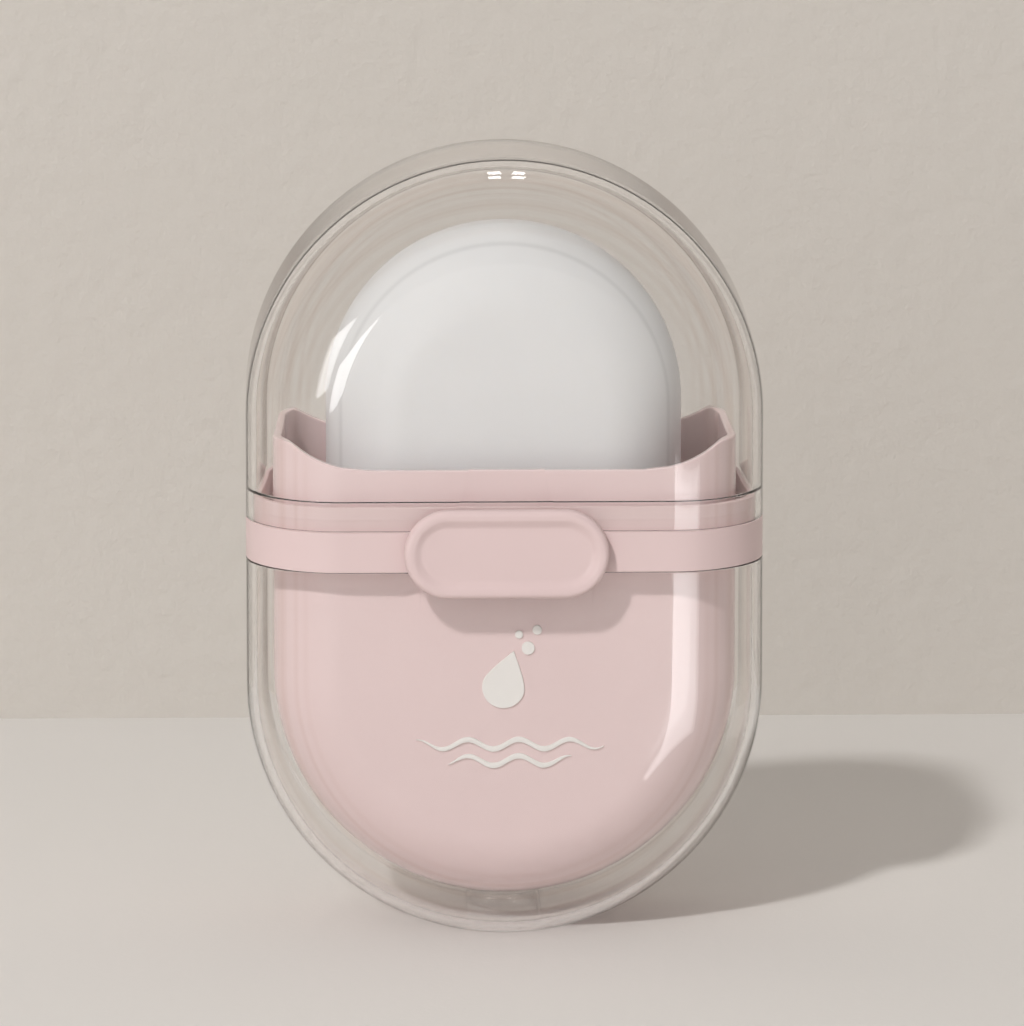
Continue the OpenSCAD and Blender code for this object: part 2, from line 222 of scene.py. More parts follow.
def bevel(bm, geometry, offset, segments, affect, clamp=True):
    """Rounds edges or corner points."""
    bmesh.ops.bevel(
        bm,
        geom=geometry,
        offset=offset,
        offset_type="OFFSET",
        segments=segments,
        profile=0.5,
        affect=affect,
        clamp_overlap=clamp,
        material=-1,
    )


class Outline:
    """The rounded rectangle that a piece follows, with a wall's insets measured inwards from it"""

    def __init__(self, half_width, half_depth, corner, steps, cuts=5):
        self.half_width = half_width
        self.half_depth = half_depth
        self.corner = corner
        self.steps = steps
        self.cuts = cuts

    def start(self, bm, inset, level):
        """Makes the first row, a closed loop of edges, and returns them."""
        size = Matrix.Diagonal((self.half_width, self.half_depth, 1, 1))
        made = bmesh.ops.create_grid(bm, x_segments=2, y_segments=1, size=1, matrix=size)["verts"]
        corners = [v for v in made if abs(v.co.x) > self.half_width / 2]
        bevel(bm, corners, self.corner, self.steps, "VERTICES", clamp=False)
        bmesh.ops.delete(bm, geom=bm.faces[:], context="FACES_KEEP_BOUNDARY")
        bmesh.ops.remove_doubles(bm, verts=bm.verts, dist=EPS)
        corner_step = self.corner * math.pi / 2 / self.steps
        straight = [e for e in bm.edges if e.calc_length() > corner_step * 1.5]
        bmesh.ops.subdivide_edges(bm, edges=straight, cuts=self.cuts)
        row = [e for e in bm.edges if not e.link_faces]
        self.place(row, inset, level)
        return row

    def core(self, point):
        """The point nearest to another on the rectangle through the centres of the corners."""
        core_x = self.half_width - self.corner
        core_y = self.half_depth - self.corner
        return Vector((max(-core_x, min(core_x, point.x)), max(-core_y, min(core_y, point.y))))

    def reach(self, point):
        """How far a point is from that rectangle."""
        return (point.xy - self.core(point)).length

    def place(self, row, inset, level):
        """Moves a row of points to an inset and a level. The level may be a function of the point."""
        for v in {v for e in row for v in e.verts}:
            core = self.core(v.co)
            out = (v.co.xy - core).normalized() * (self.corner - inset)
            v.co.xy = core + out
            v.co.z = level(v.co) if callable(level) else level

    def grow(self, bm, row, inset, level):
        """Extrudes a row to the next one and returns it."""
        made = bmesh.ops.extrude_edge_only(bm, edges=row)["geom"]
        points = set(points_in(made))
        grown = [g for g in made if isinstance(g, bmesh.types.BMEdge) and points.issuperset(g.verts)]
        self.place(grown, inset, level)
        return grown

    def wall(self, bm, path):
        """Makes the rows of a path of insets and levels and returns the first and the last of them."""
        first = row = self.start(bm, *path[0])
        for inset, level in path[1:]:
            row = self.grow(bm, row, inset, level)
        return first, row


def upright(y, z=0):
    """Stands a flat drawing up, facing the front, at a place on the middle line."""
    return Matrix.Translation((0, y, z)) @ Matrix.Rotation(math.pi / 2, 4, "X")


def round_end(bm, row, arc_level, steps, above):
    """Spins the right-hand half of a row half round the axis of the arc, which closes the round end."""
    half = [e for e in row if all(v.co.x > -EPS for v in e.verts)]
    points = list({v for e in half for v in e.verts})
    sweep = -math.pi if above else math.pi
    arc = {"cent": (0, 0, arc_level), "axis": (0, 1, 0), "dvec": (0, 0, 0), "angle": sweep, "steps": steps}
    bmesh.ops.spin(bm, geom=half + points, use_merge=False, use_duplicate=False, **arc)


def close_up(bm):
    """Merges the points that meet and turns every face outwards."""
    bmesh.ops.remove_doubles(bm, verts=bm.verts, dist=2 * EPS)
    face_outwards(bm)


def soften(bm, width, least_angle=35, segments=3, where=None):
    """Rounds the edges that are sharper than an angle."""
    least = math.radians(least_angle)
    sharp = [e for e in bm.edges if e.is_manifold and e.calc_face_angle(0) > least]
    bevel(bm, [e for e in sharp if where is None or where(e)], width, segments, "EDGES")


def new_piece(bm, name):
    """Turns a mesh in the making into an object at the origin."""
    mesh = bpy.data.meshes.new(name)
    bm.to_mesh(mesh)
    bm.free()
    piece = bpy.data.objects.new(name, mesh)
    bpy.context.scene.collection.objects.link(piece)
    return piece


def combine(piece, tool_bm, operation):
    """Adds a closed shape to a piece or cuts it out, and keeps the result."""
    tool = new_piece(tool_bm, "shape_tool")
    modifier = piece.modifiers.new("combine", "BOOLEAN")
    modifier.operation = operation
    modifier.solver = "EXACT"
    modifier.object = tool
    bpy.context.view_layer.update()
    shaped = bpy.data.meshes.new_from_object(piece.evaluated_get(bpy.context.evaluated_depsgraph_get()))
    piece.modifiers.clear()
    plain = piece.data
    shaped.name = plain.name + "_shaped"
    piece.data = shaped
    bpy.data.meshes.remove(plain)
    bpy.data.objects.remove(tool)


def combine_both(piece, tool_bm, operation):
    """Does the same at the front of a piece with a shape, and at the back with the shape turned."""
    back = turned(tool_bm)
    combine(piece, tool_bm, operation)
    combine(piece, back, operation)


def dress(piece, body, material, nodes=(), smooth_angle=None):
    """Gives a piece its smooth shading, its material and its body, and hides the imported nodes it stands
    in for.
    """
    for face in piece.data.polygons:
        face.use_smooth = True
    if smooth_angle is not None:
        piece.data.set_sharp_from_angle(angle=math.radians(smooth_angle))
    weighted = piece.modifiers.new("even shading", "WEIGHTED_NORMAL")
    weighted.keep_sharp = True
    piece.data.materials.clear()
    piece.data.materials.append(material)
    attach(piece, body)
    if nodes:
        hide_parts(*nodes)


def block(low, high):
    """A plain box between two corners, for a cut or a neck."""
    low = Vector(low)
    high = Vector(high)
    bm = bmesh.new()
    matrix = Matrix.Translation((low + high) / 2) @ Matrix.Diagonal((*(high - low), 1))
    bmesh.ops.create_cube(bm, size=1, matrix=matrix)
    return bm


def add_rod(bm, radius, half_length, y, z, segments=32):
    """Adds a rod along X."""
    matrix = Matrix.Translation((0, y, z)) @ Matrix.Rotation(math.pi / 2, 4, "Y")
    size = {"radius1": radius, "radius2": radius, "depth": 2 * half_length}
    bmesh.ops.create_cone(bm, cap_ends=True, segments=segments, matrix=matrix, **size)


def add_bar(bm, points, half_length, x=0):
    """Adds a closed section of points in Y and Z, made solid along X."""
    corners = [bm.verts.new((x - half_length, y, z)) for y, z in points]
    face = bm.faces.new(corners)
    made = bmesh.ops.extrude_face_region(bm, geom=[face])["geom"]
    bmesh.ops.translate(bm, verts=points_in(made), vec=(2 * half_length, 0, 0))


def turned(bm):
    """A copy of a mesh in the making, turned half round about Z."""
    other = bm.copy()
    bmesh.ops.rotate(other, cent=(0, 0, 0), matrix=Matrix.Rotation(math.pi, 3, "Z"), verts=other.verts)
    return other


class Socket:
    """An output of a node, whose sums with numbers and other outputs add Math nodes"""

    def __init__(self, paint, output):
        self.paint = paint
        self.output = output

    def result(self, operation, first, second):
        """The output of a new Math node."""
        return self.paint.node("ShaderNodeMath", {"operation": operation}, {0: first, 1: second})["Value"]

    def __add__(self, other):
        return self.result("ADD", self, other)

    __radd__ = __add__

    def __sub__(self, other):
        return self.result("SUBTRACT", self, other)

    def __rsub__(self, other):
        return self.result("SUBTRACT", other, self)

    def __mul__(self, other):
        return self.result("MULTIPLY", self, other)

    __rmul__ = __mul__

    def __pow__(self, other):
        return self.result("POWER", self, other)


class Paint:
    """The nodes of one material, or of the world"""

    def __init__(self, name, store=None):
        self.owner = (bpy.data.materials if store is None else store).new(name)
        self.owner.use_nodes = True
        self.tree = self.owner.node_tree
        self.tree.nodes.clear()

    def node(self, kind, settings=None, sockets=None):
        """Adds a node, sets it up, fills or links its inputs and returns its outputs by name.

        The stops of a colour ramp are two, each a position and a tone.
        """
        made = self.tree.nodes.new(kind)
        for key, value in (settings or {}).items():
            if key == "stops":
                for element, stop in zip(made.color_ramp.elements, value):
                    element.position, element.color = stop
            else:
                setattr(made, key, value)
        for key, value in (sockets or {}).items():
            target = made.inputs[key] if isinstance(key, int) else self.enabled(made.inputs, key)
            if isinstance(value, Socket):
                self.tree.links.new(value.output, target)
            else:
                target.default_value = value
        return {o.name: Socket(self, o) for o in made.outputs if o.enabled}

    @staticmethod
    def enabled(inputs, name):
        """The input of a name that the node's settings leave in use."""
        return next(i for i in inputs if i.name == name and i.enabled)

    def place(self):
        """The point on the piece, in metres."""
        return self.node("ShaderNodeTexCoord")["Object"]

    def noise(self, scale, detail=2.0, roughness=0.5, stretch=None):
        """Soft noise from 0 to 1, with a scale per metre."""
        point = self.place()
        if stretch is not None:
            point = self.node("ShaderNodeMapping", None, {"Vector": point, "Scale": stretch})["Vector"]
        sockets = {"Vector": point, "Scale": scale, "Detail": detail, "Roughness": roughness}
        return self.node("ShaderNodeTexNoise", None, sockets)["Fac"]

    def reach(self, low, high):
        """The distance from the upright middle line between two heights, in metres."""
        point = self.node("ShaderNodeSeparateXYZ", None, {"Vector": self.place()})
        sockets = {"Value": point["Z"], "Min": low, "Max": high}
        rise = point["Z"] - self.node("ShaderNodeClamp", None, sockets)["Result"]
        return (point["X"] * point["X"] + rise * rise) ** 0.5

    def ring(self, value, middle, half_width):
        """1 at a value, and 0 from a distance on either side of it."""
        inner = self.between(value, middle - half_width, middle)
        return inner * self.between(value, middle, middle + half_width, 1.0, 0.0)

    def between(self, value, low, high, to_low=0.0, to_high=1.0):
        """A value's range mapped on another range, and held inside it."""
        return self.node(
            "ShaderNodeMapRange",
            {"clamp": True, "interpolation_type": "SMOOTHSTEP"},
            {"Value": value, "From Min": low, "From Max": high, "To Min": to_low, "To Max": to_high},
        )["Result"]

    def tint(self, factor, first, second):
        """A colour between two others."""
        sockets = {"Factor": factor, "A": first, "B": second}
        return self.node("ShaderNodeMix", {"data_type": "RGBA"}, sockets)["Result"]

    def bump(self, height, distance, strength=1.0, under=None):
        """A normal raised by a height map, on top of another normal."""
        sockets = {"Height": height, "Distance": distance, "Strength": strength}
        if under is not None:
            sockets["Normal"] = under
        return self.node("ShaderNodeBump", None, sockets)["Normal"]

    def surface(self, base, roughness, normal, others):
        """A principled shader with these values and links on its sockets."""
        sockets = {"Base Color": base, "Roughness": roughness, "Normal": normal, **others}
        return self.node("ShaderNodeBsdfPrincipled", None, sockets)["BSDF"]

    def open_air(self, tone=(1, 1, 1, 1)):
        """A shader that lets everything through."""
        return self.node("ShaderNodeBsdfTransparent", None, {"Color": tone})["BSDF"]

    def glow(self, tone, strength):
        """A shader that shines."""
        return self.node("ShaderNodeEmission", None, {"Color": tone, "Strength": strength})["Emission"]

    def mixed(self, share, first, second):
        """A shader between two others."""
        return self.node("ShaderNodeMixShader", None, {0: share, 1: first, 2: second})["Shader"]

    def show(self, shader, kind="ShaderNodeOutputMaterial"):
        """Sends a shader to the output and returns the finished material or world."""
        self.node(kind, None, {"Surface": shader})
        return self.owner


def shade(tone, share):
    """A colour made darker or lighter by a share."""
    return (*(min(1.0, part * share) for part in tone[:3]), 1.0)


def clear_plastic(name, tone, streak_tone, edge_shade_tone):
    """Polished clear plastic with painted refraction streaks round its edge, and a painted dark brown shade
    along its outlines, where one looks along its wall.

    Lamps shine through it.
    """
    paint = Paint(name)
    reach = paint.reach(CUP_LOW.z + LID_HIGH.x - 4 * MM, LID_HIGH.z - LID_HIGH.x)
    # Painted refraction: streaks near the rim, a little darker and warmer than the clear tint
    sockets = {"W": reach, "Scale": 800, "Detail": 2}
    streak_noise = paint.node("ShaderNodeTexNoise", {"noise_dimensions": "1D"}, sockets)["Fac"]
    streaks = paint.between(streak_noise, 0.46, 0.6) * paint.between(reach, 28.5 * MM, 34 * MM)
    # Painted shade: the wall turns dark brown where it is seen edge on
    along = paint.node("ShaderNodeLayerWeight", None, {"Blend": 0.5})["Facing"]
    base = paint.tint(streaks, tone, streak_tone)
    base = paint.tint(paint.between(along, 0.825, 0.90), base, edge_shade_tone)
    marks = paint.between(paint.noise(900, 3, 0.6, stretch=(1, 1, 0.25)), 0.62, 0.8)
    roughness = 0.012 + paint.noise(60) * 0.02 + marks * 0.05
    normal = paint.bump(paint.noise(38, 1), 0.02 * MM, 0.1)
    plastic = paint.surface(base, roughness, normal, {"IOR": 1.49, "Transmission Weight": 1.0})
    ray = paint.node("ShaderNodeLightPath")
    clear = paint.open_air(shade(tone, 0.99))
    lit = paint.mixed(ray["Is Diffuse Ray"], plastic, clear)
    return paint.show(paint.mixed(ray["Is Shadow Ray"], lit, clear))


def pink_plastic(name, tone, roughness, coat=0.0, painted_shade=None):
    """Pink moulded plastic, a little uneven in tone and gloss, with a fine grain and soft sink marks.

    Where a piece marks its inside, shade is painted there, darker deeper down.
    """
    paint = Paint(name)
    clouds = paint.noise(45)
    base = paint.tint(paint.between(clouds, 0.3, 0.7), shade(tone, 0.99), shade(tone, 1.01))
    if painted_shade is not None:
        # Painted shade, growing with the marked depth inside the cup
        inside = paint.node("ShaderNodeAttribute", {"attribute_name": "inside"})["Fac"]
        base = paint.tint(paint.between(inside, 0.0, 0.6), base, painted_shade)
    normal = paint.bump(paint.noise(5200, 2, 0.6), 0.012 * MM, 0.5)
    normal = paint.bump(paint.noise(75, 1), 0.12 * MM, 0.35, normal)
    coating = {"IOR": 1.5, "Coat Weight": coat, "Coat Roughness": 0.06}
    return paint.show(paint.surface(base, roughness - 0.01 + clouds * 0.02, normal, coating))


def soap_finish(name, tone):
    """White pressed soap with a shallow groove round its face, darkened by a painted shade line that stands
    in for the line the lid's rounding draws over it, satin, and duller in its shallow hollows.
    """
    paint = Paint(name)
    hollows = paint.noise(55)
    pores = paint.between(paint.noise(1500, 3, 0.6), 0.6, 0.85)
    reach = paint.reach(SOAP_LOW.z + SOAP_HIGH.x, SOAP_HIGH.z - SOAP_HIGH.x)
    groove_and_painted_line = paint.ring(reach, SOAP_HIGH.x - 2.3 * MM, 0.5 * MM)
    base = paint.tint(paint.between(hollows, 0.3, 0.7), shade(tone, 0.975), tone)
    base = paint.tint(pores * 0.25, base, shade(tone, 0.93))
    # Painted shade: the ring round the face is darkened in the colour
    base = paint.tint(groove_and_painted_line * 0.55, base, shade(tone, 0.80))
    normal = paint.bump(hollows, 0.5 * MM, 0.25)
    normal = paint.bump(groove_and_painted_line, 0.1 * MM, -0.6, normal)
    normal = paint.bump(pores, 0.02 * MM, -0.5, normal)
    glow = {"Subsurface Weight": 0.12, "Subsurface Radius": (1.0, 0.9, 0.8), "Subsurface Scale": 2 * MM}
    roughness = 0.34 + hollows * 0.16 + pores * 0.1
    return paint.show(paint.surface(base, roughness, normal, {"IOR": 1.45, **glow}))


def silicone_finish(name, tone):
    """Milky silicone with a matt skin."""
    paint = Paint(name)
    skin = paint.noise(2600, 2, 0.55)
    base = paint.tint(paint.noise(120), shade(tone, 0.96), tone)
    normal = paint.bump(skin, 0.015 * MM, 0.5)
    milk = {"IOR": 1.41, "Transmission Weight": 0.1}
    return paint.show(paint.surface(base, 0.42 + skin * 0.14, normal, milk))


def steel_finish(name, tone):
    """Drawn steel wire with fine lines along it."""
    paint = Paint(name)
    lines = paint.noise(900, 3, 0.6, stretch=(0.03, 1, 1))
    base = paint.tint(lines, shade(tone, 0.86), tone)
    normal = paint.bump(lines, 0.01 * MM, 0.6)
    return paint.show(paint.surface(base, 0.22 + lines * 0.16, normal, {"Metallic": 1.0}))


def ink_finish(name, tone):
    """White print, raised a little and slightly uneven."""
    paint = Paint(name)
    speckle = paint.noise(2200, 2, 0.6)
    base = paint.tint(speckle, shade(tone, 0.95), tone)
    normal = paint.bump(speckle, 0.02 * MM, 0.5)
    return paint.show(paint.surface(base, 0.38 + speckle * 0.14, normal, {"IOR": 1.5}))


def stage_finish(name, tone, grain_scale, grain_depth):
    """A plain pale surface with a faint grain that fades into the room far away.

    It is open to a view from behind.
    """
    paint = Paint(name)
    grain = paint.noise(grain_scale, 3, 0.6)
    base = paint.tint(paint.noise(7, 1), shade(tone, 0.985), shade(tone, 1.01))
    normal = paint.bump(grain, grain_depth, 0.5)
    near = paint.surface(base, 0.7 + grain * 0.1, normal, {"Specular IOR Level": 0.0})
    away = paint.node("ShaderNodeVectorMath", {"operation": "LENGTH"}, {0: paint.place()})["Value"]
    far = paint.glow((0.53, 0.505, 0.48, 1), 1.0)
    faded = paint.mixed(paint.between(away, 0.7, 1.9), near, far)
    behind = paint.node("ShaderNodeNewGeometry")["Backfacing"]
    return paint.show(paint.mixed(behind, faded, paint.open_air()))


def card_finish(name):
    """A white glow that only reflections show."""
    paint = Paint(name)
    depth = paint.node("ShaderNodeLightPath")["Glossy Depth"]
    lit = paint.glow((1, 0.99, 0.98, 1), 3.4)
    return paint.show(paint.mixed(paint.between(depth, 0.4, 0.6), paint.open_air(), lit))


def case_outline(case):
    """The outline that the shells, the collar, the seal and the cup share."""
    return Outline(case.half_width, case.half_depth, case.edge_radius, case.corner_steps)


class SOAPBOX_OT_clear_shells(bpy.types.Operator):
    """Build the clear base and the clear lid"""

    bl_idname = "soapbox.clear_shells"
    bl_label = "Clear shells"

    def execute(self, context):
        case = context.scene.soapbox_case
        finishes = context.scene.soapbox_finishes
        finish = clear_plastic("clear_plastic", finishes.clear, finishes.clear_refraction_streak, finishes.painted_edge_shade)
        self.base(case, finish)
        self.lid(case, context.scene.soapbox_latch, finish)
        return {"FINISHED"}

    def shell(self, case, path, arc, above):
        """A wall along a path of insets and levels, closed by a round end."""
        bm = bmesh.new()
        for row in case_outline(case).wall(bm, path):
            round_end(bm, row, arc, case.round_steps, above)
        close_up(bm)
        return bm

    def base(self, case, finish):
        """The lower shell, cut flat for its foot and notched for the pins."""
        arc = math.sqrt(case.half_width**2 - (case.foot_width / 2) ** 2)
        top = COLLAR_LOW.z - case.shadow_gap
        step = case.wall - case.tongue_wall
        high = BASE_HIGH.z
        path = [(0, arc), (0, top), (step, top), (step, high), (case.wall, high), (case.wall, arc)]
        bm = self.shell(case, path, arc, above=False)
        soften(bm, case.edge_break)
        parts = bm.verts[:] + bm.edges[:] + bm.faces[:]
        ground = {"plane_co": (0, 0, 0), "plane_no": (0, 0, 1)}
        cut = bmesh.ops.bisect_plane(bm, geom=parts, dist=EPS, clear_inner=True, **ground)["geom_cut"]
        bmesh.ops.holes_fill(bm, edges=[g for g in cut if isinstance(g, bmesh.types.BMEdge)], sides=0)
        face_outwards(bm)
        piece = new_piece(bm, "clear_base")
        half = PIN_HIGH.x + case.fit
        face = -case.half_depth
        notch = block((-half, face - PAST, top), (half, face + 2 * PAST, high + PAST))
        combine_both(piece, notch, "DIFFERENCE")
        dress(piece, "base", finish, ["base_shell"])

    def lid(self, case, latch, finish):
        """The upper shell, with its thinned rim and its two catches."""
        arc = LID_HIGH.z - case.half_width
        rim = LID_LOW.z
        step = rim + case.rebate_height
        inset = case.rebate_inset
        path = [(0, arc), (0, rim), (inset, rim), (inset, step), (case.wall, step), (case.wall, arc)]
        bm = self.shell(case, path, arc, above=True)
        soften(bm, case.step_round, where=lambda e: min(v.co.z for v in e.verts) > rim + MM)
        soften(bm, case.rim_break, where=lambda e: max(v.co.z for v in e.verts) < rim + MM / 4)
        piece = new_piece(bm, "clear_lid")
        inner = -case.half_depth + case.wall / 2
        outer = -case.half_depth - latch.catch_proud
        low = rim + latch.catch_rise
        middle = low + latch.catch_height / 2
        high = low + latch.catch_height
        catch = bmesh.new()
        section = [(inner, low), (-case.half_depth, low), (outer, middle), (outer, high), (inner, high)]
        add_bar(catch, section, latch.catch_half)
        face_outwards(catch)
        combine_both(piece, catch, "UNION")
        dress(piece, "lid", finish, ["lid_shell"])


class SOAPBOX_OT_collar_and_seal(bpy.types.Operator):
    """Build the pink collar and the silicone seal on top of it"""

    bl_idname = "soapbox.collar_and_seal"
    bl_label = "Collar and seal"

    def execute(self, context):
        case = context.scene.soapbox_case
        finishes = context.scene.soapbox_finishes
        self.collar(case, context.scene.soapbox_cup, context.scene.soapbox_latch, finishes)
        self.seal(case, finishes)
        return {"FINISHED"}

    def ring(self, case, path):
        """A ring with a closed section of insets and levels."""
        bm = bmesh.new()
        case_outline(case).wall(bm, path)
        close_up(bm)
        return bm

    def collar(self, case, cup, latch, finishes):
        """The collar, grooved for the seal and the base's tongue, with a pocket for each button."""
        low = COLLAR_LOW.z
        high = COLLAR_HIGH.z
        seal_out = case.half_width - SEAL_HIGH.x
        seal_in = seal_out + case.seal_wall + case.fit
        tongue_out = case.wall - case.tongue_wall - case.fit
        tongue_in = case.wall + case.fit
        tongue_high = BASE_HIGH.z + case.fit
        flange_out = case.half_width - CUP_HIGH.x - case.fit
        flange_low = high - cup.flange_height - case.fit
        inner = cup.inset - case.fit
        outside = [(0, low), (0, high)]
        groove = [(seal_out, high), (seal_out, SEAL_LOW.z), (seal_in, SEAL_LOW.z), (seal_in, high)]
        recess = [(flange_out, high), (flange_out, flange_low), (inner, flange_low), (inner, low)]
        channel = [(tongue_in, low), (tongue_in, tongue_high), (tongue_out, tongue_high), (tongue_out, low)]
        bm = self.ring(case, outside + groove + recess + channel + [(0, low)])
        outline = case_outline(case)
        reach = case.edge_radius - 0.1 * MM
        soften(bm, case.rim_break, where=lambda e: all(outline.reach(v.co) >= reach for v in e.verts))
        piece = new_piece(bm, "pink_collar")
        room = latch.boss_radius + latch.pocket_fit
        half = latch.boss_half + latch.pocket_fit
        seat_half = latch.seat_width / 2
        front = -case.half_depth - PAST
        pocket = block((-half, front, PIN_Z - room), (half, PIN_Y + room, PIN_Z + room))
        slot = block((-PIN_HIGH.x, front, PIN_Z - seat_half), (PIN_HIGH.x, PIN_Y, PIN_Z + seat_half))
        seat = bmesh.new()
        add_rod(seat, PIN_RADIUS + latch.seat_fit, PIN_HIGH.x, PIN_Y, PIN_Z)
        for tool in (pocket, slot, seat):
            combine_both(piece, tool, "DIFFERENCE")
        finish = pink_plastic("pink_satin", shade(finishes.pink, 0.95), roughness=0.36)
        dress(piece, "base", finish, ["collar_ring"], smooth_angle=35)

    def seal(self, case, finishes):
        """The seal, with a bead round its outside."""
        bead_out = case.half_width - SEAL_HIGH.x
        out = bead_out + case.seal_bead
        back = out + case.seal_wall
        bead = (COLLAR_HIGH.z + SEAL_HIGH.z) / 2
        low = SEAL_LOW.z
        high = SEAL_HIGH.z
        lower = [(out, low), (out, bead - 0.4 * MM), (bead_out, bead - 0.2 * MM)]
        upper = [(bead_out, bead + 0.2 * MM), (out, bead + 0.4 * MM), (out, high)]
        bm = self.ring(case, lower + upper + [(back, high), (back, low), (out, low)])
        soften(bm, 0.2 * MM, least_angle=60)
        piece = new_piece(bm, "silicone_seal")
        finish = silicone_finish("milky_silicone", finishes.silicone)
        dress(piece, "base", finish, ["seal_ring"])


class SOAPBOX_OT_cup_and_tray(bpy.types.Operator):
    """Build the pink cup and finish the drain tray inside it"""

    bl_idname = "soapbox.cup_and_tray"
    bl_label = "Cup and drain tray"

    def execute(self, context):
        case = context.scene.soapbox_case
        finishes = context.scene.soapbox_finishes
        self.cup(case, context.scene.soapbox_cup, finishes)
        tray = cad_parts["drain_tray"]
        tray.data.materials.clear()
        tray.data.materials.append(pink_plastic("tray_plastic", finishes.pink, roughness=0.4))
        return {"FINISHED"}

    def cup(self, case, cup, finishes):
        """The cup, with its flange, its swept mouth and its drain slots."""
        arc = CUP_LOW.z + case.half_width - cup.inset
        high = COLLAR_HIGH.z
        flange = case.half_width - CUP_HIGH.x
        level = high + cup.mouth_height

        def mouth(point):
            """The height of the mouth, level in front and swept up at the sides."""
            reach = min(abs(point.x) - cup.level_half, cup.sweep_radius * 0.999)
            rise = cup.sweep_radius - math.sqrt(cup.sweep_radius**2 - reach**2) if reach > 0 else 0
            return min(level + rise, CUP_HIGH.z)

        inner = cup.inset + cup.wall
        path = [
            (cup.inset, arc),
            (cup.inset, high - cup.flange_height),
            (flange, high - cup.flange_height),
            (flange, high),
            (cup.inset, high),
            (cup.inset, mouth),
            (inner, mouth),
            (inner, arc),
        ]
        bm = bmesh.new()
        rows = case_outline(case).wall(bm, path)
        # Marks the inside of the cup, which the painted shade darkens towards its floor
        inside = bm.verts.layers.float.new("inside")
        for v in {v for e in rows[1] for v in e.verts}:
            v[inside] = 1.0
        for row in rows:
            round_end(bm, row, arc, case.round_steps, above=False)
        close_up(bm)
        soften(bm, cup.lip_round, segments=4, where=lambda e: min(v.co.z for v in e.verts) > high + MM)
        piece = new_piece(bm, "soap_cup_pink")
        cut_high = CUP_LOW.z + 8 * MM
        for i in range(cup.slot_count):
            x = (i - (cup.slot_count - 1) / 2) * cup.slot_pitch
            tool = bmesh.new()
            slot = Outline(cup.slot_width / 2, cup.slot_length / 2, cup.slot_width / 2, steps=10, cuts=1)
            for row in slot.wall(tool, [(0, 0), (0, cut_high)]):
                bmesh.ops.edgeloop_fill(tool, edges=row)
            bmesh.ops.translate(tool, verts=tool.verts, vec=(x, 0, 0))
            face_outwards(tool)
            combine(piece, tool, "DIFFERENCE")
        pink = pink_plastic("pink_gloss", finishes.pink, roughness=0.26, coat=0.6, painted_shade=finishes.painted_shade_pink)
        dress(piece, "base", pink, ["soap_cup"], smooth_angle=35)


